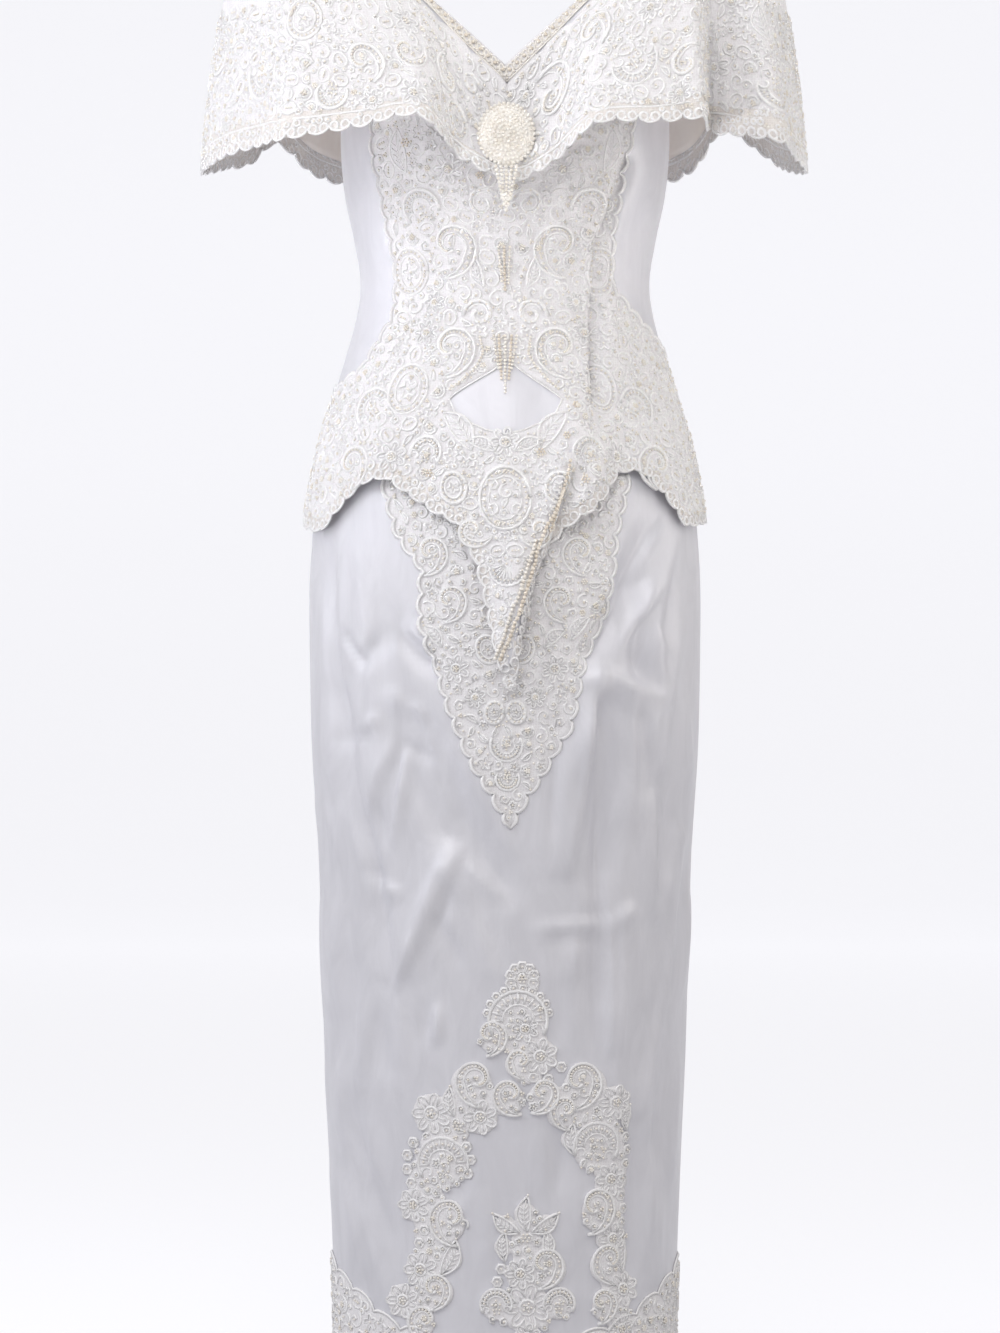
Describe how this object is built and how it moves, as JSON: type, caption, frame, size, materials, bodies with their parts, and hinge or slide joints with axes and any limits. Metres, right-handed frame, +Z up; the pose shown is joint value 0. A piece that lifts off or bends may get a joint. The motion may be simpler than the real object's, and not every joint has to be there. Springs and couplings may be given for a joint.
{
  "type": "wedding dress",
  "caption": "Floor-length white satin wedding dress with an off-shoulder cape collar, pointed basque waist and corded, beaded lace, held in its worn shape.",
  "frame": {"origin": "midway between the two shoulder rests at the top of the collar's neck edge, where the wearer's upper arms and shoulders carry the dress", "axes": "+Z up along the dress, -Y the wearer's front, +X the wearer's left; left and right in node names are the wearer's"},
  "size_m": [0.5451, 0.3336, 1.4026],
  "materials": {
    "satin": "cool white bridal satin with a soft sheen",
    "corded_lace": "matte ivory-white corded lace on net",
    "pearl_beadwork": "cream pearl beads, glossy"
  },
  "bodies": {
    "root": {"back_placket": "satin", "bodice_back_left": "satin", "bodice_back_right": "satin", "bodice_front": "satin", "bodice_lace_front": "corded_lace", "bodice_side_back_left": "satin", "bodice_side_back_right": "satin", "bodice_side_front_left": "satin", "bodice_side_front_right": "satin", "collar_lace_left": "corded_lace", "collar_lace_right": "corded_lace", "collar_left": "satin", "collar_right": "satin", "hem_lace_arm_left": "corded_lace", "hem_lace_arm_right": "corded_lace", "hem_lace_border_back_left": "corded_lace", "hem_lace_border_back_right": "corded_lace", "hem_lace_border_front": "corded_lace", "hem_lace_finial": "corded_lace", "hem_lace_spray": "corded_lace", "medallion": "pearl_beadwork", "medallion_tassel": "pearl_beadwork", "neckline_edging_left": "pearl_beadwork", "neckline_edging_right": "pearl_beadwork", "peplum_lace_back_left": "corded_lace", "peplum_lace_back_right": "corded_lace", "skirt_back_left": "satin", "skirt_back_right": "satin", "skirt_front": "satin", "skirt_lace_point": "corded_lace"}
  },
  "joints": []
}
